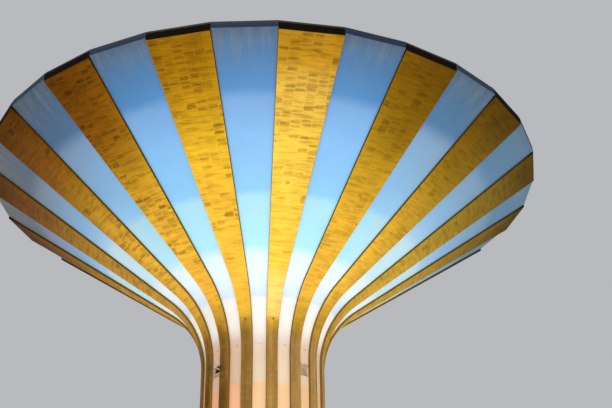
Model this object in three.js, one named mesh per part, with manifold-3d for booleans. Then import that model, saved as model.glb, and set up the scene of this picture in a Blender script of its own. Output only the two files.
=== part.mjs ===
// A striped concrete water tower: a ribbed shaft that spreads into a wide cone-shaped bowl.
// Sixteen ribs stand proud between sixteen painted panels. Each runs from the ground to the rim.
// Millimetres, +Z up, the origin on the ground in the shaft's middle, a panel and the door facing -Y.
// The model is a tenth of the real size.
import * as THREE from "three";
import { mergeVertices } from "three/addons/utils/BufferGeometryUtils.js";
import Module from "manifold-3d";

const radians = THREE.MathUtils.degToRad;

// Driving dimensions of the plan, to the corners between a panel and a rib.
const RIB_COUNT = 16;
const RIM_RADIUS = 2850;
const SHAFT_RADIUS = 576;
const PANEL_SHAFT_HALF_ANGLE = radians(6.2); // a panel is a little wider than a rib on the shaft
const EVEN_RADIUS = 1710; // from here out, panels and ribs are equally wide

// Driving dimensions of the section.
const RIM_HEIGHT = 5236; // lower edge of the panels' rim
const BOWL_SLOPE = radians(34.2);
const NECK_ARC_RADIUS = 826; // the bend from the shaft into the bowl, on a panel's face
const RIB_NECK_ARC_RADIUS = 803;
const FASCIA_HEIGHT = 51; // the upright edge of a panel at the rim
const WALL = 50;
const RIB_PROUD_ON_SHAFT = 26;
const RIB_PROUD_ON_BOWL = 20;
const RIM_BEAM_WIDTH = 80;
const NECK_ARC_STEPS = 7; // half the number of chords along the bend

// Roof, and the vent turret on its top.
const ROOF_THICKNESS = 24;
const ROOF_SLOPE = radians(8);
const ROOF_SET_BACK = 12; // the roof's edge, in from the rim
const ROOF_QUARTERS = 4;
const COLLAR_RADIUS = 380; // flat ring round the hole in the roof
const ROOF_HOLE_RADIUS = 260;
const TURRET_RADIUS = 320;
const TURRET_WALL = 22;
const TURRET_HEIGHT = 320;
const TURRET_VENT_COUNT = 8;
const TURRET_VENT = { width: 124, height: 84, sill: 140 };
const CAP_RADIUS = 356;
const CAP_EDGE = 14;
const CAP_RISE = 119;

// Openings in the shaft, and what closes them.
const DOORWAY = { width: 100, height: 224 };
const DOOR_FRAME = { width: 8, depth: 26, sill: 12 };
const DOOR_LEAF = { thickness: 6, clearance: 0.6, set_back: 10, panel_depth: 1.2, rail: 12 };
const DOOR_SET_BACK = 12;
const LOUVRE = { width: 104, height: 122, sill: 3100 };
const LOUVRE_FRAME = { width: 5.2, depth: 18, set_back: 3.6 };
const SLAT = { count: 9, depth: 14.8, thickness: 2, tilt: radians(42) };
const LOUVRE_PANELS = [2, 6, 10, 14]; // every fourth panel, counted from the front one
const DAMAGED_LOUVRE_PANEL = 14;
const DAMAGED_SLATS_LEFT = 4;
// Where the two broken slats end on the side bars, as heights in the space that the others left.
const BROKEN_SLAT_ENDS = [
  [0.9, 0.12],
  [0.3, 0.74],
];

// Slabs inside.
const GROUND_FLOOR_THICKNESS = 12;
const TANK_FLOOR_THICKNESS = 50;
const TANK_FLOOR_HEIGHT = 3250;

const GAP = 0.3; // between touching pieces
const REACH = 4000; // past everything, for tools that cut
const OVERLAP = 1; // how far joined solids run into each other

const STRIP_COUNT = 2 * RIB_COUNT;
const STRIP_ANGLE = (2 * Math.PI) / STRIP_COUNT;
const HALF_STRIP = STRIP_ANGLE / 2;
const RIB_SHAFT_HALF_ANGLE = STRIP_ANGLE - PANEL_SHAFT_HALF_ANGLE;
const RIM_DISTANCE = RIM_RADIUS * Math.cos(HALF_STRIP); // to the middle of a rim face
const SHAFT_DISTANCE = SHAFT_RADIUS * Math.cos(PANEL_SHAFT_HALF_ANGLE);
const INNER_SHAFT_DISTANCE = SHAFT_DISTANCE - WALL;
const RIM_TOP = RIM_HEIGHT + FASCIA_HEIGHT;

const wasm = await Module();
wasm.setup();

// Solids for cutting and joining

function toSolid(geometry) {
  const bare = geometry.clone();
  bare.deleteAttribute("normal");
  bare.deleteAttribute("uv");
  const merged = mergeVertices(bare, 1e-3);
  return new wasm.Manifold(
    new wasm.Mesh({
      numProp: 3,
      vertProperties: merged.attributes.position.array,
      triVerts: new Uint32Array(merged.index.array),
    }),
  );
}

function toGeometry(solid) {
  const mesh = solid.getMesh();
  const geometry = new THREE.BufferGeometry();
  geometry.setAttribute("position", new THREE.BufferAttribute(mesh.vertProperties, 3));
  geometry.setIndex(new THREE.BufferAttribute(mesh.triVerts, 1));
  geometry.computeVertexNormals();
  return geometry;
}

// A box solid from its lowest to its highest corner.
function box(low, high) {
  const size = high.map((value, axis) => value - low[axis]);
  const middle = high.map((value, axis) => (value + low[axis]) / 2);
  const geometry = new THREE.BoxGeometry(...size);
  geometry.translate(...middle);
  return toSolid(geometry);
}

// A rectangular frame in the plane across a strip: +X outward, Y across, Z up.
function rectangularFrame(outward, width, low, high, bars) {
  const [back, front] = outward;
  const outer = box([back, -width / 2, low], [front, width / 2, high]);
  const hole = box(
    [back - OVERLAP, -width / 2 + bars.side, low + bars.bottom],
    [front + OVERLAP, width / 2 - bars.side, high - bars.side],
  );
  return outer.subtract(hole);
}

// The section of a strip, as distance from the axis against height

function addNeckArc(shape, shaftDistance, rimHeight, radius, upward) {
  const centreDistance = shaftDistance + radius;
  const slopeStart = centreDistance - radius * Math.sin(BOWL_SLOPE);
  const slopeStartHeight = rimHeight - (RIM_DISTANCE - slopeStart) * Math.tan(BOWL_SLOPE);
  const centreHeight = slopeStartHeight - radius * Math.cos(BOWL_SLOPE);
  const shaftAngle = Math.PI;
  const slopeAngle = Math.PI / 2 + BOWL_SLOPE;
  if (upward) shape.absarc(centreDistance, centreHeight, radius, shaftAngle, slopeAngle, true);
  else shape.absarc(centreDistance, centreHeight, radius, slopeAngle, shaftAngle, false);
}

function stripSection(proudOnShaft, proudOnBowl, arcRadius) {
  const innerRise = WALL / Math.cos(BOWL_SLOPE);
  const outerDrop = proudOnBowl / Math.cos(BOWL_SLOPE);
  const beamDistance = RIM_DISTANCE - RIM_BEAM_WIDTH;
  const beamFoot = RIM_HEIGHT + innerRise - RIM_BEAM_WIDTH * Math.tan(BOWL_SLOPE);
  const shape = new THREE.Shape();
  shape.moveTo(INNER_SHAFT_DISTANCE, 0);
  shape.lineTo(SHAFT_DISTANCE + proudOnShaft, 0);
  addNeckArc(shape, SHAFT_DISTANCE + proudOnShaft, RIM_HEIGHT - outerDrop, arcRadius, true);
  shape.lineTo(RIM_DISTANCE, RIM_HEIGHT - outerDrop);
  shape.lineTo(RIM_DISTANCE, RIM_TOP);
  shape.lineTo(beamDistance, RIM_TOP);
  shape.lineTo(beamDistance, beamFoot);
  addNeckArc(shape, INNER_SHAFT_DISTANCE, RIM_HEIGHT + innerRise, NECK_ARC_RADIUS + WALL, false);
  return shape;
}

// The plan of a strip that runs out along +X, a little apart from its neighbours.
function stripPlan(shaftHalfAngle) {
  const corners = [
    [ROOF_HOLE_RADIUS, shaftHalfAngle],
    [SHAFT_RADIUS, shaftHalfAngle],
    [EVEN_RADIUS, HALF_STRIP],
    [REACH, HALF_STRIP],
  ];
  const left = corners.map(([radius, angle]) => {
    return new THREE.Vector2(radius * Math.cos(angle), radius * Math.sin(angle) - GAP / 2);
  });
  const right = left.map((corner) => new THREE.Vector2(corner.x, -corner.y));
  return new THREE.Shape([...right, ...left.reverse()]);
}

// A strip from the ground to the rim, running out along +X.
function strip(section, plan) {
  const width = 2 * RIM_RADIUS * Math.tan(STRIP_ANGLE);
  const upright = new THREE.ExtrudeGeometry(section, {
    depth: width,
    curveSegments: NECK_ARC_STEPS,
    bevelEnabled: false,
  });
  upright.translate(0, 0, -width / 2);
  upright.rotateX(Math.PI / 2);
  const column = new THREE.ExtrudeGeometry(plan, { depth: 2 * REACH, bevelEnabled: false });
  column.translate(0, 0, -OVERLAP);
  return toSolid(upright).intersect(toSolid(column));
}

function ribStrip() {
  const section = stripSection(RIB_PROUD_ON_SHAFT, RIB_PROUD_ON_BOWL, RIB_NECK_ARC_RADIUS);
  return strip(section, stripPlan(RIB_SHAFT_HALF_ANGLE));
}

function panelStrip() {
  return strip(stripSection(0, 0, NECK_ARC_RADIUS), stripPlan(PANEL_SHAFT_HALF_ANGLE));
}

function wallCutter(opening, low) {
  return box(
    [ROOF_HOLE_RADIUS, -opening.width / 2, low],
    [SHAFT_RADIUS + WALL, opening.width / 2, low + opening.height],
  );
}

// Louvres

// One slat from side bar to side bar, its ends at two heights.
function slat(distance, span, rightHeight, leftHeight) {
  const rise = leftHeight - rightHeight;
  const geometry = new THREE.BoxGeometry(SLAT.depth, Math.hypot(span, rise), SLAT.thickness);
  geometry.rotateY(SLAT.tilt);
  geometry.rotateX(Math.atan2(rise, span));
  geometry.translate(distance, 0, (rightHeight + leftHeight) / 2);
  return toSolid(geometry);
}

function louvre(damaged) {
  const front = SHAFT_DISTANCE - LOUVRE_FRAME.set_back;
  const back = front - LOUVRE_FRAME.depth;
  const middle = (front + back) / 2;
  const low = LOUVRE.sill + GAP;
  const high = LOUVRE.sill + LOUVRE.height - GAP;
  const width = LOUVRE.width - 2 * GAP;
  const bars = { side: LOUVRE_FRAME.width, bottom: LOUVRE_FRAME.width };
  const clearWidth = width - 2 * bars.side + OVERLAP;
  const pitch = (high - low) / (SLAT.count + 1);
  let solid = rectangularFrame([back, front], width, low, high, bars);
  const slatCount = damaged ? DAMAGED_SLATS_LEFT : SLAT.count;
  for (let i = 1; i <= slatCount; i++) {
    solid = solid.add(slat(middle, clearWidth, low + i * pitch, low + i * pitch));
  }
  if (damaged) {
    const emptyFoot = low + slatCount * pitch;
    const heightOf = (share) => emptyFoot + share * (high - emptyFoot);
    for (const [right, left] of BROKEN_SLAT_ENDS) {
      solid = solid.add(slat(middle, clearWidth, heightOf(right), heightOf(left)));
    }
  }
  return solid;
}

// Door

function doorFrame() {
  const front = SHAFT_DISTANCE - DOOR_SET_BACK;
  const width = DOORWAY.width - 2 * GAP;
  const bars = { side: DOOR_FRAME.width, bottom: DOOR_FRAME.sill };
  return rectangularFrame([front - DOOR_FRAME.depth, front], width, 0, DOORWAY.height - GAP, bars);
}

function doorLeaf() {
  const front = SHAFT_DISTANCE - DOOR_SET_BACK - DOOR_LEAF.set_back;
  const side = DOORWAY.width / 2 - GAP - DOOR_FRAME.width - DOOR_LEAF.clearance;
  const low = DOOR_FRAME.sill + GAP;
  const high = DOORWAY.height - GAP - DOOR_FRAME.width - DOOR_LEAF.clearance;
  const middle = (low + high) / 2;
  let leaf = box([front - DOOR_LEAF.thickness, -side, low], [front, side, high]);
  const fields = [
    [low + DOOR_LEAF.rail, middle - DOOR_LEAF.rail / 2],
    [middle + DOOR_LEAF.rail / 2, high - DOOR_LEAF.rail],
  ];
  for (const [bottom, top] of fields) {
    const across = side - DOOR_LEAF.rail;
    leaf = leaf.subtract(
      box([front - DOOR_LEAF.panel_depth, -across, bottom], [front + OVERLAP, across, top]),
    );
  }
  return leaf;
}

// Slabs, roof and turret

// A slab that fills the shaft, its edges along the faces of the wall.
function slab(height, thickness) {
  const radius = (INNER_SHAFT_DISTANCE - GAP) / Math.cos(HALF_STRIP);
  const geometry = new THREE.CylinderGeometry(radius, radius, thickness, STRIP_COUNT);
  geometry.rotateX(Math.PI / 2);
  geometry.rotateZ(HALF_STRIP);
  geometry.translate(0, 0, height + thickness / 2);
  return toSolid(geometry);
}

// A many-sided turned solid with its corners over the corners of the rim.
function turned(points) {
  const profile = points.map(([radius, height]) => new THREE.Vector2(radius, height));
  const geometry = new THREE.LatheGeometry(profile, STRIP_COUNT, HALF_STRIP);
  geometry.rotateX(Math.PI / 2);
  return toSolid(geometry);
}

const ROOF_EDGE = RIM_RADIUS - ROOF_SET_BACK;
const ROOF_FOOT = RIM_TOP + GAP;
const COLLAR_FOOT = ROOF_FOOT + (RIM_RADIUS - RIM_BEAM_WIDTH - COLLAR_RADIUS) * Math.tan(ROOF_SLOPE);
const COLLAR_TOP = COLLAR_FOOT + ROOF_THICKNESS;
const TURRET_FOOT = COLLAR_TOP + GAP;
const TURRET_TOP = TURRET_FOOT + TURRET_HEIGHT;

function roofQuarter() {
  const seat = RIM_RADIUS - RIM_BEAM_WIDTH;
  const ring = turned([
    [ROOF_EDGE, ROOF_FOOT],
    [ROOF_EDGE, ROOF_FOOT + ROOF_THICKNESS],
    [seat, ROOF_FOOT + ROOF_THICKNESS],
    [COLLAR_RADIUS, COLLAR_TOP],
    [ROOF_HOLE_RADIUS, COLLAR_TOP],
    [ROOF_HOLE_RADIUS, COLLAR_FOOT],
    [COLLAR_RADIUS, COLLAR_FOOT],
    [seat, ROOF_FOOT],
    [ROOF_EDGE, ROOF_FOOT],
  ]);
  const corner = new THREE.BoxGeometry(REACH, REACH, REACH);
  corner.translate((REACH + GAP) / 2, (REACH + GAP) / 2, RIM_TOP);
  corner.rotateZ(HALF_STRIP);
  return ring.intersect(toSolid(corner));
}

function turretWall() {
  const outer = TURRET_RADIUS;
  const inner = TURRET_RADIUS - TURRET_WALL;
  let wall = turned([
    [outer, TURRET_FOOT],
    [outer, TURRET_TOP],
    [inner, TURRET_TOP],
    [inner, TURRET_FOOT],
    [outer, TURRET_FOOT],
  ]);
  const half = TURRET_VENT.width / 2;
  const low = TURRET_FOOT + TURRET_VENT.sill;
  for (let i = 0; i < TURRET_VENT_COUNT; i++) {
    const vent = new THREE.BoxGeometry(outer, 2 * half, TURRET_VENT.height);
    vent.translate(outer, 0, low + TURRET_VENT.height / 2);
    vent.rotateZ((i * 2 * Math.PI) / TURRET_VENT_COUNT);
    wall = wall.subtract(toSolid(vent));
  }
  return wall;
}

function turretCap() {
  const foot = TURRET_TOP + GAP;
  return turned([
    [0, foot],
    [CAP_RADIUS, foot],
    [CAP_RADIUS, foot + CAP_EDGE],
    [0, foot + CAP_EDGE + CAP_RISE],
  ]);
}

// Materials, and the tower itself

function finish(colour, roughness, metalness = 0) {
  return new THREE.MeshStandardMaterial({ color: colour, roughness, metalness });
}

const RIB_CONCRETE = finish(0xb88a3c, 0.9);
const PANEL_PAINT = finish(0xa9cdea, 0.7);
const PLAIN_CONCRETE = finish(0xa79c88, 0.92);
const LOUVRE_PAINT = finish(0xa89c90, 0.6);
const DOOR_PAINT = finish(0x5f6a70, 0.55);

const tower = new THREE.Group();

// Adds a solid that was made running out along +X, turned to face an azimuth: 0 is -Y, rising to +X.
function add(name, solid, material, azimuth = 0) {
  const mesh = new THREE.Mesh(toGeometry(solid), material);
  mesh.name = name;
  mesh.rotation.z = azimuth - Math.PI / 2;
  tower.add(mesh);
}

const twoDigits = (number) => String(number).padStart(2, "0");

const rib = ribStrip();
const panel = panelStrip();
const doorPanel = panel.subtract(wallCutter({ ...DOORWAY, height: DOORWAY.height + OVERLAP }, -OVERLAP));
const louvrePanel = panel.subtract(wallCutter(LOUVRE, LOUVRE.sill));

for (let i = 0; i < RIB_COUNT; i++) {
  const azimuth = 2 * i * STRIP_ANGLE;
  const hasLouvre = LOUVRE_PANELS.includes(i);
  const panelSolid = i === 0 ? doorPanel : hasLouvre ? louvrePanel : panel;
  add("panel_" + twoDigits(i + 1), panelSolid, PANEL_PAINT, azimuth);
  add("rib_" + twoDigits(i + 1), rib, RIB_CONCRETE, azimuth + STRIP_ANGLE);
  if (hasLouvre) {
    add("louvre_" + twoDigits(i + 1), louvre(i === DAMAGED_LOUVRE_PANEL), LOUVRE_PAINT, azimuth);
  }
}

add("door_frame", doorFrame(), DOOR_PAINT);
add("door_leaf", doorLeaf(), DOOR_PAINT);
add("ground_floor", slab(0, GROUND_FLOOR_THICKNESS), PLAIN_CONCRETE, Math.PI / 2);
add("tank_floor", slab(TANK_FLOOR_HEIGHT, TANK_FLOOR_THICKNESS), PLAIN_CONCRETE, Math.PI / 2);

const quarter = roofQuarter();
for (let i = 0; i < ROOF_QUARTERS; i++) {
  add("roof_quarter_" + (i + 1), quarter, PLAIN_CONCRETE, (i + 1) * (Math.PI / 2));
}
add("turret_wall", turretWall(), PLAIN_CONCRETE, Math.PI / 2);
add("turret_roof", turretCap(), PLAIN_CONCRETE, Math.PI / 2);

export default tower;
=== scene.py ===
"""A striped concrete water tower at 1:10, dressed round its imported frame.

Metres, +Z up, the door facing -Y.
"""

from math import ceil, cos, pi, radians, sin, tan

import bmesh
import bpy
import numpy as np
from mathutils import Matrix, Vector


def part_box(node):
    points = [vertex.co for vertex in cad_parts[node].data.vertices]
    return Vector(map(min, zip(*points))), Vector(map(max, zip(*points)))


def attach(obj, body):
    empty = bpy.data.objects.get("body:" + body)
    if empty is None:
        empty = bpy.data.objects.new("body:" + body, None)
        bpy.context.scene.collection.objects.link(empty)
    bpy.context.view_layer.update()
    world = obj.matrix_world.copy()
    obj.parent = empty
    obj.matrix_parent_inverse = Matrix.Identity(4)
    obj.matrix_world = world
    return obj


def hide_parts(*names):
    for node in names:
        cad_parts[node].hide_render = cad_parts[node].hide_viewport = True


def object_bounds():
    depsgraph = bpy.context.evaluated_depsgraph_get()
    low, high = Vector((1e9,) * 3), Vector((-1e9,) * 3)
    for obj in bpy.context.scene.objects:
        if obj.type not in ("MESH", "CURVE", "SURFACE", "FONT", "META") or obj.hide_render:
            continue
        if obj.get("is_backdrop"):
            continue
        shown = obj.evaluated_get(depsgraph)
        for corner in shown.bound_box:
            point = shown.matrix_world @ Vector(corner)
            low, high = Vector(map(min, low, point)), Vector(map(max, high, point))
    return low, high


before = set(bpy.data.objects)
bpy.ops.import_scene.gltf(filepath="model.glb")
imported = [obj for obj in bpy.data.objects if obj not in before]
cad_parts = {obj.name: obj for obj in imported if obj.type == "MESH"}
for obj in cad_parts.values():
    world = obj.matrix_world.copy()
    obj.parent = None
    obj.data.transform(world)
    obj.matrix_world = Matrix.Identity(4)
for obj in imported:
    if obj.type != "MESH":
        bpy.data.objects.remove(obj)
cad_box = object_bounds()
random = np.random.default_rng(77)

# Driving sizes of the plan, as in the frame
RIB_COUNT = 16
CORNER_COUNT = 2 * RIB_COUNT
STRIP_ANGLE = pi / RIB_COUNT
HALF_STRIP = STRIP_ANGLE / 2
RIM_RADIUS = 2.850
RIM_DISTANCE = RIM_RADIUS * cos(HALF_STRIP)
RIM_BEAM_WIDTH = 0.080
BEAM_DISTANCE = RIM_DISTANCE - RIM_BEAM_WIDTH
SHAFT_RADIUS = 0.576
PANEL_HALF_ANGLE = radians(6.2)  # on the shaft
RIB_HALF_ANGLE = STRIP_ANGLE - PANEL_HALF_ANGLE
EVEN_RADIUS = 1.710  # from here out ribs and panels are equally wide
EVEN_DISTANCE = EVEN_RADIUS * cos(HALF_STRIP)
GAP = 0.0003

# Driving sizes of the section
SHAFT_DISTANCE = SHAFT_RADIUS * cos(PANEL_HALF_ANGLE)
RIM_HEIGHT = 5.236
FASCIA_HEIGHT = 0.051
RIM_TOP = RIM_HEIGHT + FASCIA_HEIGHT
BOWL_SLOPE = radians(34.2)
PANEL_ARC_RADIUS = 0.826
RIB_ARC_RADIUS = 0.803
WALL = 0.050
RIB_PROUD_ON_SHAFT = 0.026
RIB_PROUD_ON_BOWL = 0.020
ARC_STEPS = 48
ARRIS = 0.0022  # small chamfer along the long edges
SIDE_BEND = 0.4  # share of the wall's depth at which a side turns

# Openings in the panels
DOORWAY = {"width": 0.100, "low": 0.0, "high": 0.224}
LOUVRE = {"width": 0.104, "low": 3.100, "high": 3.222}
LOUVRE_PANELS = (2, 6, 10, 14)
DAMAGED_PANEL = 14
DAMAGED_AZIMUTH = 2 * DAMAGED_PANEL * STRIP_ANGLE
DAMAGED_SPOT = (SHAFT_DISTANCE * sin(DAMAGED_AZIMUTH), -SHAFT_DISTANCE * cos(DAMAGED_AZIMUTH), 3.161)
SCREEN = {"behind": 0.0205, "beside": 0.0052, "end": 0.0056, "thickness": 0.0010, "edge": 0.0003}
DAMAGED_SCREEN = 0.42  # share of the damaged louvre's screen that is left

# What shows on the shaft, the neck and the bowl. A pipe's size is its radius and its bore's, and the
# steps of a round piece are (distance along its axis, radius).
CAST_JOINT = {"height": 3.3634, "width": 0.0022, "depth": 0.0007, "stain": 0.003}
CROSS_BOARDS_FROM = 3.571  # above this height the rib boards lie across
PIPE_ROOT = 0.006
PIPE = {"height": 3.354, "aside": 0.012, "size": (0.0032, 0.0022), "length": 0.009, "droop": radians(12)}
SPOUT = {"height": 3.577, "aside": 0.0, "size": (0.0105, 0.0078), "length": 0.006, "droop": 0.0}
SPOUT_RIBS = (0, 7, 8, 15)
PLUG_HEIGHT = 4.44
PLUG_ASIDE = {0: -0.026, 1: 0.008, 6: -0.008, 7: 0.026}  # how far to the right of the middle, by rib
PLUG_STEPS = ((-0.004, 0.018), (0.0006, 0.018), (0.0012, 0.01692), (0.0012, 0.01188), (0.0009, 0.0108))

# Marks of the boards on the ribs
BOARD_ROW = 0.018
BOARD_COLUMN = 0.093
BOARD_LIFT = 0.070
STAVES = 4
LIFT_LINES = {"top": 3.113, "pitch": 0.067}  # pale marks between the lifts of the shaft
BOARD_JOINT = 0.0010
BOARD_RELIEF = (0.00015, 0.0007)
BOARD_ROOT = 0.0012  # how deep a board's solid runs into the rib
NARROWEST_BOARD = 0.014
MIDDLE_TONE = 0.5
TONE_SPREAD = {"rib": 0.12, "stave": 0.9, "lift": 0.3, "column": 0.26, "board": 0.25}
SIZE_SPREAD = {"stave": 0.12, "lift": 0.3, "row": 0.25, "column": 0.03}
DARK_STAIN = (0.35, 1.0)
CLEAN_STAIN = (0.0, 0.10)

# Roof and turret, as in the frame
ROOF_EDGE = RIM_RADIUS - 0.012
ROOF_THICKNESS = 0.024
ROOF_SLOPE = radians(8)
ROOF_SEAT = RIM_RADIUS - RIM_BEAM_WIDTH
ROOF_TOP = RIM_TOP + GAP + ROOF_THICKNESS
COLLAR_RADIUS = 0.380
TURRET_FOOT = ROOF_TOP + (ROOF_SEAT - COLLAR_RADIUS) * tan(ROOF_SLOPE) + GAP
TURRET_HEIGHT = 0.320
CAP = {"radius": 0.356, "foot": TURRET_FOOT + TURRET_HEIGHT + GAP, "edge": 0.014, "rise": 0.119}

# Trim of the roof and the turret
SHEET = {"proud": 0.0014, "side_root": 0.0004, "top_root": 0.0006}
FLASHING = {"low": RIM_TOP + 0.002, "inner": ROOF_SEAT + 0.020}
STRIP_PROUD = 0.0012
HIP_STRIP = {"ends": (COLLAR_RADIUS + 0.012, ROOF_SEAT - 0.004), "widths": (0.022, 0.030)}
HIP_STRIP_REACH = (-0.0016, STRIP_PROUD, 0.0006)  # how low and how high, and the chamfer
RING_STRIPS = ((COLLAR_RADIUS + 0.030, 0.060), (1.20, 0.036), (2.02, 0.036))  # (middle radius, width)
RING_STRIP_ROOT = 0.001
DRIP_BAND = {"drop": 0.004, "inward": 0.014, "edge": 0.0008, "proud": 0.0012}
CAP_SEAM = {"from_edge": 0.010, "from_axis": 0.022}
VENT = {"count": 8, "width": 0.124, "height": 0.084, "sill": 0.140, "distance": 0.304}
SLAT = {"count": 6, "inset": 0.002, "tilt": radians(40)}

# Sections of bars: the width, how low and how high they reach square to it, and the chamfer
CAP_SEAM_BAR = (0.003, -0.0012, 0.0036, 0.0008)
VENT_FRAME_BAR = (0.006, -0.005, 0.005, 0.0008)
SLAT_BAR = (0.013, -0.0006, 0.0006, 0.0003)
HINGE_LEAF_BAR = (0.009, -0.0004, 0.0007, 0.0003)
LOCK_PLATE_BAR = (0.0055, -0.0004, 0.0008, 0.0003)
LEVER_BAR = (0.0018, -0.0008, 0.0008, 0.0005)

# Door furniture
HINGE = {"shares": (0.13, 0.5, 0.87), "aside": 0.0002, "out": 0.0012, "leaf_aside": 0.005, "reach": 0.006}
HINGE_STEPS = ((-0.0075, 0.0010), (-0.0070, 0.0016), (0.0070, 0.0016), (0.0075, 0.0010))
LOCK = {"share": 0.47, "aside": 0.0062, "reach": 0.012, "hub_lift": 0.004}
HUB_STEPS = ((0.0, 0.0013), (0.0044, 0.0013), (0.0048, 0.0009))
LEVER = {"out": 0.0040, "right": 0.0012, "left": 0.0125}
SMALL_SIDES = 14

# Camera, from a fit to the corners of the rim in the photograph
PHOTO_WIDTH_PX = 612
FOCAL_PX = 958.63
SENSOR_WIDTH_MM = 36
CAMERA_DISTANCE = 8.980
CAMERA_HEIGHT = 0.160
CAMERA_AZIMUTH = radians(3.48)
CAMERA_PITCH = radians(29.110)
CAMERA_YAW = radians(2.852)
CAMERA_ROLL = radians(-0.984)

# Soft light from a ring of wide lamps near the ground, and from high up for the roof and the floor
FLOOR = {"radius": 60.0, "height": -0.0005, "sides": 96}
LAMP_REACH = 2.6
LAMP_HEIGHT = 0.40
LAMP_AIM = (1.20, 4.40)
LOW_LAMP = {"shape": "DISK", "size": 1.6, "spread": radians(146)}
LAMP_POWER = {8: 54, 60: 20, 120: 24, 180: 25, 240: 24, 300: 16}
HIGH_LAMP = {"energy": 1.1, "angle": radians(50)}
HIGH_LAMP_FROM = (-0.20, -0.30, 1.0)
BACKDROP = {"Color": (0.80, 0.82, 0.85, 1.0), "Strength": 0.60}


# Meshes


class Shell:
    """Points, faces and surface coordinates of one mesh, gathered piece by piece."""

    def __init__(self):
        self.points = []
        self.places = []
        self.marks = []
        self.faces = []
        self.kinds = []

    def add(self, points, faces, places=None, marks=None, kinds=None):
        """A place is (across, along, share of half width, share across board).

        A mark is (tone, stain, share along the stain).
        """
        first = len(self.points)
        self.points.extend(points)
        self.places.extend(places or [(0.0, 0.0, 0.0, 0.5)] * len(points))
        self.marks.extend(marks or [(MIDDLE_TONE, 0.0, 0.5)] * len(points))
        self.faces.extend([first + corner for corner in face] for face in faces)
        self.kinds.extend(kinds or [0] * len(faces))

    def build(self, name, materials, azimuth=pi / 2, lane=0.0):
        """A piece on the tower; what was built along +X turns to an azimuth, where 0 is -Y."""
        mesh = bpy.data.meshes.new(name)
        mesh.from_pydata([tuple(point) for point in self.points], [], self.faces)
        mesh.polygons.foreach_set("material_index", self.kinds)
        corners = np.empty(len(mesh.loops), dtype=np.int32)
        mesh.loops.foreach_get("vertex_index", corners)
        places = np.array(self.places, dtype=np.float32)[corners]
        places[:, 0] += lane
        marks = np.array(self.marks, dtype=np.float32)[corners]
        for label, columns in (("run", [0, 1]), ("edge", [2, 3])):
            layer = mesh.uv_layers.new(name=label)
            layer.data.foreach_set("uv", np.ascontiguousarray(places[:, columns]).ravel())
        layer = mesh.color_attributes.new(name="board", type="FLOAT_COLOR", domain="CORNER")
        layer.data.foreach_set("color", np.column_stack([marks, np.ones(len(marks))]).ravel())
        for material in materials:
            mesh.materials.append(material)
        tidy(mesh)
        mesh.transform(Matrix.Rotation(azimuth - pi / 2, 4, "Z"))
        piece = placed(name, mesh)
        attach(piece, "root")
        return piece


def make_trim(name, material, parts):
    """A piece on the tower made of closed parts, each with its points and faces."""
    shell = Shell()
    for points, faces in parts:
        shell.add(points, faces)
    shell.build(name, (material,))


def placed(name, data):
    """A new object in the scene."""
    made = bpy.data.objects.new(name, data)
    bpy.context.scene.collection.objects.link(made)
    return made


def tidy(mesh, weld=1e-6, sharp=radians(28)):
    """Welds points that coincide, turns the faces outward and shades smooth between sharp edges."""
    work = bmesh.new()
    work.from_mesh(mesh)
    bmesh.ops.remove_doubles(work, verts=work.verts, dist=weld)
    bmesh.ops.recalc_face_normals(work, faces=work.faces)
    work.to_mesh(mesh)
    work.free()
    mesh.polygons.foreach_set("use_smooth", [True] * len(mesh.polygons))
    mesh.set_sharp_from_angle(angle=sharp)
    mesh.update()


def swung(part, azimuth):
    """A part built along +X, turned to an azimuth."""
    turn = Matrix.Rotation(azimuth - pi / 2, 3, "Z")
    points, faces = part
    return [turn @ Vector(point) for point in points], faces


def reached(out, distance, height):
    """A point at a distance along a level direction, at a height."""
    return distance * out + Vector((0, 0, height))


def loft(rings, looped=False):
    """Points and faces of a skin over rings of equally many points, with its ends capped or joined."""
    count = len(rings[0])
    points = [point for ring in rings for point in ring]
    faces = []
    for level in range(len(rings) if looped else len(rings) - 1):
        low, high = level * count, (level + 1) % len(rings) * count
        for side in range(count):
            after = (side + 1) % count
            faces.append((low + side, low + after, high + after, high + side))
    if not looped:
        faces.append(tuple(range(count)))
        faces.append(tuple(range(len(points) - count, len(points))))
    return points, faces


def bar(start, end, across, width, low, high, edge):
    """A straight bar with two chamfered edges; low and high are measured square to its width."""
    start, end, across = Vector(start), Vector(end), Vector(across).normalized()
    up = across.cross(end - start).normalized()
    half = width / 2
    outline = [(-half, low), (half, low), (half, high - edge), (half - edge, high)]
    outline += [(-half + edge, high), (-half, high - edge)]
    return loft([[foot + a * across + b * up for a, b in outline] for foot in (start, end)])


def ring(centre, axis, radius, sides=20):
    across = axis.orthogonal().normalized()
    up = axis.cross(across).normalized()
    turns = [2 * pi * step / sides for step in range(sides)]
    return [centre + radius * (cos(turn) * across + sin(turn) * up) for turn in turns]


def turned(centre, axis, steps, sides=20):
    """A round piece with a radius at each distance along its axis."""
    return loft([ring(centre + along * axis, axis, radius, sides) for along, radius in steps])


def pipe(start, end, radius, bore):
    """A round pipe with a rounded lip and a blind bore in its far end."""
    axis = (end - start).normalized()
    lip = (radius - bore) / 3
    steps = [(start, radius), (end - lip * axis, radius), (end, radius - lip), (end, bore)]
    steps.append((end - 1.5 * bore * axis, bore))
    return loft([ring(centre, axis, size) for centre, size in steps])


def hoop(profile):
    """A band that follows the many-sided rim: profile points are (radius of a corner, height)."""
    rings = []
    for corner in range(CORNER_COUNT):
        turn = (2 * corner + 1) * HALF_STRIP
        rings.append([Vector((radius * cos(turn), radius * sin(turn), z)) for radius, z in profile])
    return loft(rings, looped=True)


# Sections of ribs and panels


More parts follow.
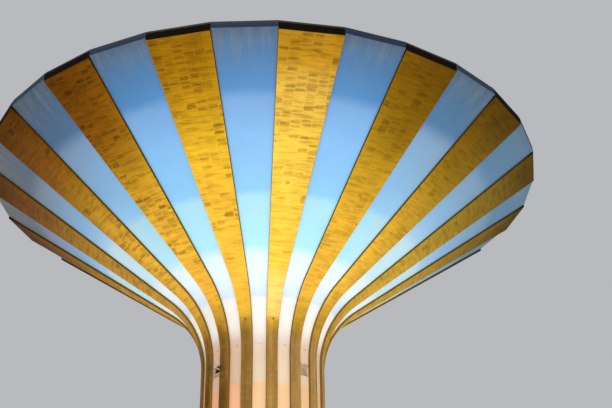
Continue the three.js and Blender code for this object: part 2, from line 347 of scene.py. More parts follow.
class Section:
    """The face of a rib or panel: an upright line, an arc and the slope of the bowl."""

    def __init__(self, proud_on_shaft, proud_on_bowl, arc_radius, half_angle=0.0):
        self.half_angle = half_angle
        self.foot = SHAFT_DISTANCE + proud_on_shaft
        self.radius = arc_radius
        self.rim = RIM_HEIGHT - proud_on_bowl / cos(BOWL_SLOPE)
        self.turn = pi / 2 - BOWL_SLOPE
        self.slope_from = self.foot + arc_radius * (1 - sin(BOWL_SLOPE))
        self.slope_height = self.rim - (RIM_DISTANCE - self.slope_from) * tan(BOWL_SLOPE)
        self.arc_height = self.slope_height - arc_radius * cos(BOWL_SLOPE)
        self.arc_end = self.arc_height + arc_radius * self.turn
        self.length = self.run_at_distance(RIM_DISTANCE)

    def at(self, run):
        """Distance, height and the outward direction at a length along the face from the ground."""
        if run <= self.arc_height:
            return self.foot, run, 1.0, 0.0
        if run <= self.arc_end:
            turn = (run - self.arc_height) / self.radius
            distance = self.foot + self.radius * (1 - cos(turn))
            return distance, self.arc_height + self.radius * sin(turn), cos(turn), -sin(turn)
        along = run - self.arc_end
        distance = self.slope_from + along * cos(BOWL_SLOPE)
        return distance, self.slope_height + along * sin(BOWL_SLOPE), sin(BOWL_SLOPE), -cos(BOWL_SLOPE)

    def half_width(self, distance):
        """Half the width of the rib or panel at a distance from the tower's axis."""
        near = SHAFT_RADIUS * cos(self.half_angle)
        near_half = SHAFT_RADIUS * sin(self.half_angle)
        if distance <= near:
            return distance * tan(self.half_angle) - GAP / 2
        if distance >= EVEN_DISTANCE:
            return distance * tan(HALF_STRIP) - GAP / 2
        share = (distance - near) / (EVEN_DISTANCE - near)
        return near_half + share * (EVEN_RADIUS * sin(HALF_STRIP) - near_half) - GAP / 2

    def run_at_height(self, height):
        if height <= self.arc_height:
            return height
        if height <= self.slope_height:
            return self.arc_height + self.radius * np.arcsin((height - self.arc_height) / self.radius)
        return self.arc_end + (height - self.slope_height) / sin(BOWL_SLOPE)

    def run_at_distance(self, distance):
        return self.arc_end + (distance - self.slope_from) / cos(BOWL_SLOPE)

    def run_behind(self, run, inner):
        """The length along an inner face that lies behind a length along this one."""
        if run <= self.arc_height:
            return run * inner.arc_height / self.arc_height if run > CAST_JOINT["height"] else run
        if run <= self.arc_end:
            return inner.arc_height + (run - self.arc_height) * inner.radius / self.radius
        share = (run - self.arc_end) / (self.run_at_distance(BEAM_DISTANCE) - self.arc_end)
        return inner.arc_end + share * (inner.run_at_distance(BEAM_DISTANCE) - inner.arc_end)


RIB_FACE = Section(RIB_PROUD_ON_SHAFT, RIB_PROUD_ON_BOWL, RIB_ARC_RADIUS, RIB_HALF_ANGLE)
PANEL_FACE = Section(0.0, 0.0, PANEL_ARC_RADIUS, PANEL_HALF_ANGLE)
INNER_FACE = Section(-WALL, -WALL, PANEL_ARC_RADIUS + WALL)


# Bodies of ribs and panels


def rungs_up(section, openings):
    """(outer point, inner point, outward direction, run) at each level of a rib or panel."""
    joint = section.run_at_height(CAST_JOINT["height"])
    half, depth = CAST_JOINT["width"] / 2, CAST_JOINT["depth"]
    arc = section.radius * section.turn
    levels = {section.arc_height * third / 3: 0.0 for third in range(3)}
    levels.update((section.arc_height + arc * step / ARC_STEPS, 0.0) for step in range(ARC_STEPS + 1))
    levels.update((height, 0.0) for height in openings)
    levels.update({joint - half - depth: 0.0, joint - half: depth})
    levels.update({joint + half: depth, joint + half + depth: 0.0})
    levels.update((section.run_at_distance(distance), 0.0) for distance in (EVEN_DISTANCE, BEAM_DISTANCE))
    rungs = []
    for run in sorted(levels):
        x, z, out_x, out_z = section.at(run)
        inner = INNER_FACE.at(section.run_behind(run, INNER_FACE))[:2]
        rungs.append(((x - levels[run] * out_x, z - levels[run] * out_z), inner, (out_x, out_z), run))
    return rungs + rim_rungs(section)


def rim_rungs(section):
    """The levels round the rim: under its edge, up its face and on its top."""
    x, z, out_x, out_z = section.at(section.length - ARRIS)
    top = section.length + RIM_TOP - section.rim
    beam_top = (BEAM_DISTANCE, RIM_TOP)
    return [
        ((x, z), beam_top, (out_x, out_z), section.length - ARRIS),
        ((RIM_DISTANCE, section.rim + ARRIS), beam_top, (1.0, 0.0), section.length + ARRIS),
        ((RIM_DISTANCE, RIM_TOP - ARRIS), beam_top, (1.0, 0.0), top),
        ((RIM_DISTANCE - ARRIS, RIM_TOP), beam_top, (0.0, 1.0), top),
    ]


def ring_round(section, rung, hole):
    """Points round a rib or panel at one level: face, side, inner face, the other side."""
    (x, z), (inner_x, inner_z), (out_x, out_z), run = rung
    wide = section.half_width(x)
    back = (x - ARRIS * out_x, z - ARRIS * out_z)
    bend = (x + SIDE_BEND * (inner_x - x), z + SIDE_BEND * (inner_z - z))
    right = [(x, hole, z), (x, wide - ARRIS, z)]
    right += [(a, section.half_width(a), b) for a, b in (back, bend, (inner_x, inner_z))]
    right.append((inner_x, hole, inner_z))
    points = right + [(a, -b, c) for a, b, c in reversed(right)]
    return points, [(b, run, abs(b) / wide, 0.5) for a, b, c in points]


# Corners of a ring: 0 and 11 beside the opening in the face, 5 and 6 beside it in the inner face
RING_SIZE = 12
WALLS = [(corner, (corner + 1) % RING_SIZE) for corner in range(RING_SIZE)]
FACE_WALLS = ((0, 1), (9, 10), (10, 11), (11, 0))
WALLS_BESIDE_OPENING = [wall for wall in WALLS if wall not in ((5, 6), (11, 0))] + [(0, 5), (6, 11)]
RIGHT_HALF = (0, 1, 2, 3, 4, 5)
LEFT_HALF = (6, 7, 8, 9, 10, 11)
ACROSS_OPENING = (0, 5, 6, 11)


def body_faces(opened, painted):
    """(corners, kind) of each face, where kind 0 is the face that shows and 1 is the rest."""
    last = len(opened) - 1
    faces = []
    for level, is_open in enumerate(opened):
        low, high = RING_SIZE * level, RING_SIZE * (level + 1)
        flat = [RIGHT_HALF, LEFT_HALF] if level in (0, last) else []
        if is_open != (level == 0 or opened[level - 1]):
            flat.append(ACROSS_OPENING)
        faces += [([low + corner for corner in corners], 1) for corners in flat]
        if level == last:
            break
        for start, end in WALLS_BESIDE_OPENING if is_open else WALLS:
            kind = 0 if painted[level] and (start, end) in FACE_WALLS else 1
            faces.append(([low + start, low + end, high + end, high + start], kind))
    return faces


def add_body(shell, section, opening=None):
    """A closed rib or panel from the ground to the rim, with an opening through it."""
    hole = opening["width"] / 2 if opening else SHAFT_DISTANCE * sin(section.half_angle) / 2
    limits = (opening["low"], opening["high"]) if opening else ()
    rungs = rungs_up(section, limits)
    rings = [ring_round(section, rung, hole) for rung in rungs]
    points, places = (sum(lists, []) for lists in zip(*rings))
    runs = [rung[-1] for rung in rungs]
    opened = [bool(limits) and limits[0] <= run < limits[1] for run in runs[:-1]] + [True]
    faces, kinds = zip(*body_faces(opened, [run < section.length for run in runs]))
    shell.add(points, faces, places, kinds=kinds)


# Marks of the boards


def add_board(shell, runs, spans, tone, stain, shares=(0.0, 1.0)):
    """One board's mark, a thin raised slab between two runs and (left, right) limits at each."""
    points, places, marks = [], [], []
    relief = random.uniform(*BOARD_RELIEF)
    for rise in (-BOARD_ROOT, relief):
        for run, span, share in zip(runs, spans, shares):
            x, z, out_x, out_z = RIB_FACE.at(run)
            for end, across in enumerate(span):
                points.append((x + rise * out_x, across, z + rise * out_z))
                places.append((across, run, abs(across) / RIB_FACE.half_width(x), end))
                marks.append((tone, stain, share))
    faces = [(4, 5, 7, 6), (0, 2, 3, 1), (0, 1, 5, 4), (2, 6, 7, 3), (0, 4, 6, 2), (1, 3, 7, 5)]
    shell.add(points, faces, places, marks)


def board_limits(low, high):
    """Where a board between two cuts starts and ends along the rib, and how far aside it may reach."""
    runs = (low + BOARD_JOINT / 2, high - BOARD_JOINT / 2)
    return runs, [RIB_FACE.half_width(RIB_FACE.at(run)[0]) - ARRIS - BOARD_JOINT for run in runs]


def varied(most, count=None):
    """Random values up to so much either way."""
    return random.uniform(-most, most, count)


def uneven_cuts(start, end, pitch, spread):
    """Cuts from start to end, about a pitch apart."""
    steps = random.uniform(1 - spread, 1 + spread, round((end - start) / pitch))
    return start + (end - start) * np.concatenate([[0.0], np.cumsum(steps) / steps.sum()])


def add_upright_boards(shell, shade):
    """Staves in lifts from the ground to where the boards turn across."""
    joint = RIB_FACE.run_at_height(CAST_JOINT["height"])
    turn = RIB_FACE.run_at_height(CROSS_BOARDS_FROM)
    below = uneven_cuts(0.003, joint - 0.002, BOARD_LIFT, SIZE_SPREAD["lift"])
    above = uneven_cuts(joint + 0.002, turn, BOARD_LIFT, SIZE_SPREAD["lift"])
    stave_tone = varied(TONE_SPREAD["stave"], STAVES)
    cuts = np.linspace(-1, 1, STAVES + 1)
    cuts[1:-1] += varied(SIZE_SPREAD["stave"], STAVES - 1)
    for low, high in [*zip(below[:-1], below[1:]), *zip(above[:-1], above[1:])]:
        runs, limits = board_limits(low, high)
        for stave, (left, right) in enumerate(zip(cuts[:-1], cuts[1:])):
            spans = [(left * limit + BOARD_JOINT / 2, right * limit - BOARD_JOINT / 2) for limit in limits]
            tone = MIDDLE_TONE + shade + stave_tone[stave] + varied(TONE_SPREAD["lift"])
            add_board(shell, runs, spans, tone, max(0.0, random.normal(0.0, 0.25)))


def add_cross_boards(shell, shade, lean):
    """Short boards across the rib, in columns along it, some of them dark over several rows."""
    start = RIB_FACE.run_at_height(CROSS_BOARDS_FROM)
    cuts = uneven_cuts(start, RIB_FACE.length - 2 * ARRIS, BOARD_ROW, SIZE_SPREAD["row"])
    reach = ceil(RIM_RADIUS * sin(HALF_STRIP) / BOARD_COLUMN) + 1
    columns = 2 * reach
    stains = stained_boards(len(cuts) - 1, columns, lean)
    column_tone = varied(TONE_SPREAD["column"], columns)
    shift = varied(0.5)
    for row, (low, high) in enumerate(zip(cuts[:-1], cuts[1:])):
        runs, limits = board_limits(low, high)
        inside = min(limits) - NARROWEST_BOARD
        wander = varied(SIZE_SPREAD["column"], columns + 1)
        joints = BOARD_COLUMN * (np.arange(-reach, reach + 1) + shift + wander)
        for column, (left, right) in enumerate(zip(joints[:-1], joints[1:])):
            if right < -inside or left > inside:
                continue
            starts = -1 if left < -inside else left + BOARD_JOINT / 2
            stops = 1 if right > inside else right - BOARD_JOINT / 2
            spans = [(max(starts, -limit), min(stops, limit)) for limit in limits]
            tone = MIDDLE_TONE + shade + column_tone[column] + varied(TONE_SPREAD["board"])
            stain, *shares = stains[row, column]
            add_board(shell, runs, spans, tone, stain, shares)


def smooth_field(rows, columns, coarse_rows, coarse_columns):
    """Random values from 0 to 1 that change slowly over a grid."""
    coarse = random.uniform(0.0, 1.0, (coarse_rows, coarse_columns))
    across = np.linspace(0, coarse_columns - 1, columns)
    down = np.linspace(0, coarse_rows - 1, rows)
    wide = np.array([np.interp(across, range(coarse_columns), line) for line in coarse])
    return np.array([np.interp(down, range(coarse_rows), line) for line in wide.T]).T


def stained_boards(rows, columns, lean):
    """(darkness, share of its stain at the lower and upper edge) of each board, dark ones in clusters.

    Lean is 0 on the tower's front and back, where the stains gather under the rim and are short,
    -1 on its left side and 1 on its right. Towards those they gather over the neck and are taller,
    with more of them on the left, and grow rare on the outermost ribs.
    """
    side = abs(lean)
    strength = 1 - 0.4 * max(lean, 0)
    cluster = smooth_field(rows, columns, rows // 11, columns // 2)
    upward = np.arange(rows) / rows
    gathered = side * (1 - upward) + (1 - side) * upward
    busy = (1.7 - 1.6 * lean) * (1 - side**8) * gathered**2
    boards = {}
    for column in range(columns):
        row = 0
        while row < rows:
            dark = random.uniform() < 0.005 + busy[row] * cluster[row, column] ** 3
            length = 2 + round(random.exponential(0.5 + 1.5 * side)) if dark else 1
            stain = strength * random.uniform(*DARK_STAIN) if dark else random.uniform(*CLEAN_STAIN)
            beside = boards.get((row, column - 1), (0.0,))[0]
            if beside > 0.5 and random.uniform() < 0.45:
                length, stain = max(length, 2), 0.8 * beside
            for step in range(length):
                boards[row + step, column] = (stain, step / length, (step + 1) / length)
            row += length
    return boards


# Ribs and panels


def rib_azimuth(index):
    return (2 * index + 1) * STRIP_ANGLE


def panel_azimuth(index):
    return 2 * index * STRIP_ANGLE


def make_rib(index):
    shell = Shell()
    add_body(shell, RIB_FACE)
    shade = varied(TONE_SPREAD["rib"])
    add_upright_boards(shell, shade)
    azimuth = rib_azimuth(index)
    add_cross_boards(shell, shade, sin(azimuth))
    name = f"board_marked_rib_{index + 1:02d}"
    piece = shell.build(name, (RIB_CONCRETE, RIB_SIDE_SHADED), azimuth, 2.0 * index)
    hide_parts(f"rib_{index + 1:02d}")


def make_panel(index):
    shell = Shell()
    add_body(shell, PANEL_FACE, DOORWAY if index == 0 else LOUVRE if index in LOUVRE_PANELS else None)
    materials = (PANEL_PAINT, PANEL_EDGE_SHADED)
    name = f"painted_panel_{index + 1:02d}"
    piece = shell.build(name, materials, panel_azimuth(index), 2.0 * index)
    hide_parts(f"panel_{index + 1:02d}")


def pipes(section, size, azimuths):
    """A pipe stub in the face of a rib or panel at each azimuth."""
    x, z, out_x, out_z = section.at(section.run_at_height(size["height"]))
    out = Matrix.Rotation(size["droop"], 3, "Y") @ Vector((out_x, 0, out_z))
    face = Vector((x, size["aside"], z))
    stub = pipe(face - PIPE_ROOT * out, face + size["length"] * out, *size["size"])
    return [swung(stub, azimuth) for azimuth in azimuths]


def make_rib_plugs():
    """A round mortar plug with a dished middle in the face of four ribs."""
    x, z, out_x, out_z = RIB_FACE.at(RIB_FACE.run_at_height(PLUG_HEIGHT))
    shell = Shell()
    for index, aside in PLUG_ASIDE.items():
        plug = turned(Vector((x, aside, z)), Vector((out_x, 0, out_z)), PLUG_STEPS)
        points, faces = swung(plug, rib_azimuth(index))
        shell.add(points, faces, kinds=[0] * (len(faces) - 1) + [1])
    shell.build("rib_plugs", (PLUG_RIM, PLUG_MIDDLE))


def louvre_screens():
    """A thin plate behind the slats of each louvre; only its lower part is left in the damaged one."""
    back = SHAFT_DISTANCE - SCREEN["behind"]
    plate = (LOUVRE["width"] - 2 * SCREEN["beside"], 0.0, SCREEN["thickness"], SCREEN["edge"])
    low, high = LOUVRE["low"] + SCREEN["end"], LOUVRE["high"] - SCREEN["end"]
    for index in LOUVRE_PANELS:
        top = low + DAMAGED_SCREEN * (high - low) if index == DAMAGED_PANEL else high
        yield swung(bar((back, 0, low), (back, 0, top), (0, 1, 0), *plate), panel_azimuth(index))


# Roof and turret


def roof_flashing():
    """A dark metal band round the roof's edge, turned in over the top and down over the fascia's joint."""
    low, inner, high, skin = FLASHING["low"], FLASHING["inner"], ROOF_TOP, SHEET["proud"]
    back, under = ROOF_EDGE - SHEET["side_root"], high - SHEET["top_root"]
    outline = [(back, low), (ROOF_EDGE + skin, low), (ROOF_EDGE + skin, high + skin / 2)]
    outline += [(ROOF_EDGE + skin / 2, high + skin), (inner, high + skin), (inner, under), (back, under)]
    return hoop(outline)


def roof_height(radius):
    """Height of the roof over one of its corners at a distance from the axis."""
    return ROOF_TOP + (ROOF_SEAT - radius) * tan(ROOF_SLOPE)


def hip(corner):
    """The level directions out over a corner of the roof and across it."""
    turn = (2 * corner + 1) * HALF_STRIP
    return Vector((cos(turn), sin(turn), 0)), Vector((-sin(turn), cos(turn), 0))


def roof_strips():
    """Bitumen strips over the roof's hips, and three rings of the same, one round the turret."""
    for corner in range(CORNER_COUNT):
        out, across = hip(corner)
        ends = [reached(out, distance, roof_height(distance)) for distance in HIP_STRIP["ends"]]
        yield bar(*ends, across, HIP_STRIP["widths"][corner % 2], *HIP_STRIP_REACH)
    for radius, width in RING_STRIPS:
        far, near = radius + width / 2, radius - width / 2
        outline = [(far, roof_height(far) - RING_STRIP_ROOT), (far, roof_height(far) + STRIP_PROUD)]
        outline += [(near, roof_height(near) + STRIP_PROUD), (near, roof_height(near) - RING_STRIP_ROOT)]
        yield hoop(outline)


def grille():
    """The frame and the sloping slats in an opening of the turret that faces +X."""
    middle, thick = VENT["distance"], VENT_FRAME_BAR[0]
    low = TURRET_FOOT + VENT["sill"] + GAP
    high = low + VENT["height"] - 2 * GAP
    half = VENT["width"] / 2 - GAP
    for across in (thick / 2 - half, half - thick / 2):
        yield bar((middle, across, low), (middle, across, high), (0, 1, 0), *VENT_FRAME_BAR)
    for z in (low + thick / 2, high - thick / 2):
        yield bar((middle, -half, z), (middle, half, z), (0, 0, 1), *VENT_FRAME_BAR)
    clear = (high - low - 2 * thick) / SLAT["count"]
    end = half - SLAT["inset"]
    slope = (cos(SLAT["tilt"]), 0, -sin(SLAT["tilt"]))
    for slat in range(SLAT["count"]):
        z = low + thick + (slat + 0.5) * clear
        yield bar((middle, -end, z), (middle, end, z), slope, *SLAT_BAR)


def vent_grilles():
    """A steel grille in each opening of the turret."""
    azimuths = [index * 2 * pi / VENT["count"] for index in range(VENT["count"])]
    return [swung(part, azimuth) for azimuth in azimuths for part in grille()]


def cap_trim():
    """A dark metal drip band round the turret's cap, and seams that run up it to the top."""
    radius, low, high = CAP["radius"], CAP["foot"] - DRIP_BAND["drop"], CAP["foot"] + CAP["edge"]
    slope = CAP["rise"] / radius
    back, front, inner = radius - SHEET["side_root"], radius + SHEET["proud"], radius - DRIP_BAND["inward"]
    inner_high = high + DRIP_BAND["inward"] * slope
    outline = [(back, low), (front, low), (front, high + DRIP_BAND["edge"])]
    outline += [(inner, inner_high + DRIP_BAND["proud"]), (inner, inner_high - SHEET["top_root"])]
    yield hoop([*outline, (back, high - SHEET["top_root"])])
    for corner in range(0, CORNER_COUNT, 2):
        out, across = hip(corner)
        distances = (CAP_SEAM["from_axis"], radius - CAP_SEAM["from_edge"])
        ends = [reached(out, distance, high + (radius - distance) * slope) for distance in distances]
        yield bar(*ends, across, *CAP_SEAM_BAR)


# Door furniture


def door_plate(x, front, z, reach, section):
    """An upright plate on the door."""
    return bar((x, front, z - reach), (x, front, z + reach), (-1, 0, 0), *section)


def hinges(low, tall):
    """The knuckle of each hinge beside the door leaf's edge, and the leaf of the hinge."""
    for share in HINGE["shares"]:
        z = low.z + share * tall
        centre = Vector((low.x - HINGE["aside"], low.y - HINGE["out"], z))
        yield turned(centre, Vector((0, 0, 1)), HINGE_STEPS, SMALL_SIDES)
        yield door_plate(low.x + HINGE["leaf_aside"], low.y, z, HINGE["reach"], HINGE_LEAF_BAR)


def lock(x, front, z):
    """A lock's plate, with a lever on its hub."""
    level, y = z + LOCK["hub_lift"], front - LEVER["out"]
    yield door_plate(x, front, z, LOCK["reach"], LOCK_PLATE_BAR)
    yield turned(Vector((x, front, level)), Vector((0, -1, 0)), HUB_STEPS, SMALL_SIDES)
    yield bar((x + LEVER["right"], y, level), (x - LEVER["left"], y, level), (0, 0, 1), *LEVER_BAR)


def door_furniture():
    """Three hinges, and a lock plate with a lever."""
    low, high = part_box("door_leaf")
    tall = high.z - low.z
    return [*hinges(low, tall), *lock(high.x - LOCK["aside"], low.y, low.z + LOCK["share"] * tall)]


# Node trees


def paint(colour):
    """A linear colour from sRGB values of 0 to 255; a socket stays as it is."""
    if isinstance(colour, bpy.types.NodeSocket):
        return colour
    shares = [value / 255 for value in colour]
    return (*[v / 12.92 if v <= 0.04045 else ((v + 0.055) / 1.055) ** 2.4 for v in shares], 1.0)


class Tree:
    """Short calls for building one material's node tree, whose colour is laid on in layers.

    A colour is a socket or sRGB values of 0 to 255. Scales are in waves to the metre.
    """

    def __init__(self, name):
        self.material = bpy.data.materials.new(name)
        self.material.use_nodes = True
        self.tree = self.material.node_tree
        self.shader = self.tree.nodes["Principled BSDF"]
        self.colour = None

    def fill(self, socket, value):
        if isinstance(value, bpy.types.NodeSocket):
            self.tree.links.new(value, socket)
        elif value is not None:
            socket.default_value = value

    def node(self, kind, inputs, **settings):
        made = self.tree.nodes.new("ShaderNode" + kind)
        for name, value in settings.items():
            setattr(made, name, value)
        for name, value in inputs.items():
            self.fill(made.inputs[name], value)
        return made

    def math(self, operation, *values):
        return self.node("Math", dict(enumerate(values)), operation=operation).outputs[0]

    def product(self, first, *others):
        for other in others:
            first = self.math("MULTIPLY", first, other)
        return first

    def step(self, value, low, high, out_low=0.0, out_high=1.0):
        """A smooth change between two outputs as the value passes from low to high."""
        values = {"Value": value, "From Min": low, "From Max": high, "To Min": out_low, "To Max": out_high}
        return self.node("MapRange", values, interpolation_type="SMOOTHSTEP").outputs["Result"]

    def inner(self, share, low, high):
        """0 at both ends of a share that runs from 0 to 1, and 1 in its middle."""
        off = self.math("ABSOLUTE", self.math("SUBTRACT", share, 0.5))
        return self.step(self.math("SUBTRACT", 0.5, off), low, high)

    # Where on the tower

    def place(self):
        return self.node("TexCoord", {}).outputs["Object"]

    def split(self, vector, axis):
        return self.node("SeparateXYZ", {0: vector}).outputs[axis]

    def x(self):
        return self.split(self.place(), "X")

    def height(self):
        return self.split(self.place(), "Z")

    def aside(self):
        """How far to the left or right of the palest part of the shaft's front."""
        return self.math("ABSOLUTE", self.math("SUBTRACT", self.x(), PALEST_X))

    def flank(self):
        """0 on the tower's front and back, 1 on its two sides."""
        x, y, _ = self.node("SeparateXYZ", {0: self.place()}).outputs
        reach = self.math("SQRT", self.math("MULTIPLY_ADD", x, x, self.math("MULTIPLY", y, y)))
        return self.math("DIVIDE", self.math("ABSOLUTE", x), reach)

    def map(self, name):
        return self.node("UVMap", {}, uv_map=name).outputs["UV"]

    # Patterns

    def noise(self, scale, detail=3.0, roughness=0.55, vector=None):
        vector = self.place() if vector is None else vector
        values = {"Vector": vector, "Scale": scale, "Detail": detail, "Roughness": roughness}
        return self.node("TexNoise", values).outputs["Fac"]

    def scaled(self, across, along):
        """The place on a rib's or panel's face, scaled."""
        values = {"Vector": self.map("run"), "Scale": (across, along, 1.0)}
        return self.node("Mapping", values).outputs["Vector"]

    def streaks(self, across, along, detail, roughness=0.55):
        return self.noise(1.0, detail, roughness, self.scaled(across, along))

    def cells(self, scale, output="Distance"):
        return self.node("TexVoronoi", {"Vector": self.place(), "Scale": scale}).outputs[output]

    def bump(self, height, distance, strength, normal=None):
        values = {"Height": height, "Distance": distance, "Strength": strength, "Normal": normal}
        return self.node("Bump", values).outputs["Normal"]

    # Colours

    def bands(self, height, stops):
        """A colour for each height; the stops are in order."""
        low, *_, high = stops
        share = self.node("MapRange", {"Value": height, "From Min": low, "From Max": high})
        made = self.node("ValToRGB", {"Fac": share.outputs["Result"]})
        elements = made.color_ramp.elements
        elements[0].color = paint(stops[low])
        elements[1].color = paint(stops[high])
        for level in list(stops)[1:-1]:
            elements.new((level - low) / (high - low)).color = paint(stops[level])
        return made.outputs["Color"]

    def mix(self, share, first, second, blend="MIX"):
        made = self.tree.nodes.new("ShaderNodeMix")
        made.data_type = "RGBA"
        made.blend_type = blend
        for index, value in ((0, share), (6, paint(first)), (7, paint(second))):
            self.fill(made.inputs[index], value)
        return made.outputs[2]

    def by_side(self, left, right):
        """One colour on the left of the tower's front and another on the right."""
        return self.mix(self.step(self.x(), -0.3, 0.3), left, right)

    def wash(self, tint, *shares, blend="MIX", **ramps):
        """Lays a tint over the colour by the product of shares and of ramps along the places they name.

        The ramp called below runs along the height too, for a tint that starts and ends.
        """
        along = {"x": self.x, "aside": self.aside, "flank": self.flank, "height": self.height}
        along["below"] = self.height
        steps = [self.step(along[name](), *ramp) for name, ramp in ramps.items()]
        self.colour = self.mix(self.product(*shares, *steps), self.colour, tint, blend)

    def darken(self, tint, *shares, **ramps):
        self.wash(tint, *shares, blend="MULTIPLY", **ramps)

    def shade(self, value, amount):
        """Varies the colour lighter and darker with a value that runs from 0 to 1."""
        factor = self.math("MULTIPLY_ADD", value, 2 * amount, 1.0 - amount)
        grey = self.node("CombineColor", {0: factor, 1: factor, 2: factor}).outputs[0]
        self.darken(grey, 1.0)

    def surface(self, roughness, normal=None, metallic=0.0, specular=0.35):
        """The material; a roughness that varies is (a value from 0 to 1, the range, the least)."""
        if isinstance(roughness, tuple):
            roughness = self.math("MULTIPLY_ADD", *roughness)
        for name, value in (("Base Color", self.colour), ("Roughness", roughness), ("Normal", normal)):
            self.fill(self.shader.inputs[name], value)
        self.shader.inputs["Metallic"].default_value = metallic
        self.shader.inputs["Specular IOR Level"].default_value = specular
        return self.material


# Colours by height, in metres

PANEL_BANDS = {
    2.800: (254, 207, 154),
    2.985: (254, 207, 156),
    3.000: (244, 218, 188),
    3.200: (248, 222, 193),
    3.360: (246, 222, 196),
    3.375: (243, 223, 207),
    3.405: (243, 225, 210),
    3.460: (247, 234, 224),
    3.560: (247, 240, 229),
    3.755: (234, 232, 227),
    3.775: (207, 221, 235),
    3.950: (213, 229, 236),
    4.040: (205, 227, 236),
    4.095: (161, 216, 234),
    4.370: (160, 211, 229),
    4.410: (133, 193, 235),
    4.700: (129, 185, 237),
    4.890: (119, 167, 219),
    4.945: (81, 142, 200),
    5.120: (74, 124, 174),
    5.210: (84, 113, 143),
    5.300: (87, 104, 125),
}
RIB_TONES = {
    2.800: (170, 130, 66),
    3.400: (172, 132, 67),
    3.460: (180, 138, 56),
    3.545: (204, 156, 54),
    3.580: (214, 162, 54),
    3.625: (238, 186, 60),
    3.900: (247, 189, 64),
    4.450: (250, 194, 56),
    4.650: (248, 196, 44),
    4.850: (226, 172, 28),
    5.000: (208, 153, 14),
    5.120: (190, 135, 8),
    5.300: (176, 122, 8),
}
# Painted shade on the ribs' sides and rim: darkest at the rim's face, lighter low on the shaft
RIB_SIDE_SHADE_TONES = {
    2.800: (140, 104, 46),
    3.400: (136, 102, 46),
    3.700: (134, 101, 38),
    4.300: (112, 85, 24),
    5.150: (78, 57, 14),
    5.215: (28, 18, 9),
    5.300: (24, 16, 9),
}
PALEST_X = 0.06
OUTWARD = (3.6, 4.3, 0.35, 1.0)  # the boards' marks grow stronger up the neck


# Materials


def tint_panels_with_painted_light(tree):
    """Painted light and shade: greyer and dimmer shade and a pale sheen on the bowl's two sides, dust with
    shade further out, and rosy light on the shaft's.
    """
    # Painted shade, greyer on the bowl's two sides
    painted_shade_grey = tree.by_side((122, 134, 144), (136, 154, 158))
    limits = {"height": (4.15, 4.95, 0.0, 0.62), "below": (4.86, 4.96, 1.0, 0.5)}
    tree.wash(painted_shade_grey, flank=(0.42, 0.80), **limits)
    # A painted sheen, paler on the far sides
    limits = {"height": (3.95, 4.08, 0.0, 0.35), "below": (4.30, 4.60, 1.0, 0.0)}
    tree.wash((224, 224, 226), flank=(0.60, 0.95), **limits)
    # Deeper painted shade under the rim on the sides
    deep_painted_shade = tree.by_side((40, 46, 48), (44, 88, 118))
    tree.wash(deep_painted_shade, flank=(0.3, 0.75), height=(4.84, 4.97, 0.0, 0.50))
    # Dust and painted shade on the outermost panels
    dust_and_painted_shade = tree.by_side((120, 110, 88), (104, 146, 176))
    tree.wash(dust_and_painted_shade, flank=(0.78, 1.0), height=(4.50, 5.00, 0.0, 0.50))
    # Rosy painted lamplight on the shaft, away from its palest part
    left = tree.mix(tree.step(tree.height(), 3.000, 2.985), (212, 140, 100), (254, 149, 128))
    rosy_painted_light = tree.by_side(left, (236, 192, 136))
    tree.wash(rosy_painted_light, aside=(0.08, 0.30), height=(3.54, 3.38, 0.0, 0.36))


def joint_line(tree):
    """1 along the cast joint and 0 elsewhere."""
    return tree.math("COMPARE", tree.height(), CAST_JOINT["height"], CAST_JOINT["stain"])


def panel_paint():
    """Smooth painted concrete in bands of colour: haze under the rim, drips below, grime and painted shade
    by the ribs.
    """
    tree = Tree("panel_paint")
    waver = tree.math("MULTIPLY_ADD", tree.noise(9.0, 4.0), 0.030, -0.015)
    tree.colour = tree.bands(tree.math("ADD", tree.height(), waver), PANEL_BANDS)
    mottle = tree.noise(3.2, 5.0, 0.6)
    fine = tree.noise(70.0, 4.0, 0.7)
    tree.shade(mottle, 0.09)
    tree.shade(fine, 0.03)
    tint_panels_with_painted_light(tree)
    tree.wash((196, 158, 120), joint_line(tree), 0.15)
    veil = tree.streaks(15.0, 2.2, 5.0, 0.7)
    streak = tree.streaks(30.0, 0.8, 3.0)
    broken = tree.step(tree.streaks(9.0, 5.0, 4.0, 0.6), 0.42, 0.60)
    tree.wash((124, 134, 144), tree.step(veil, 0.38, 0.70), height=(4.95, 5.24, 0.0, 0.55))
    tree.wash((160, 168, 172), tree.step(streak, 0.62, 0.78), broken, height=(4.60, 5.15, 0.0, 0.55))
    tree.wash((150, 118, 88), tree.step(streak, 0.50, 0.75), height=(3.37, 3.05, 0.0, 0.10))
    # Grime and painted shade in the corner beside each rib
    grime_and_shade_beside_rib = tree.step(tree.split(tree.map("edge"), "X"), 0.955, 1.0)
    tree.wash((110, 102, 90), grime_and_shade_beside_rib, tree.step(fine, 0.30, 0.65, 0.2, 0.6))
    return tree.surface((mottle, 0.2, 0.48), tree.bump(fine, 0.0006, 0.35))


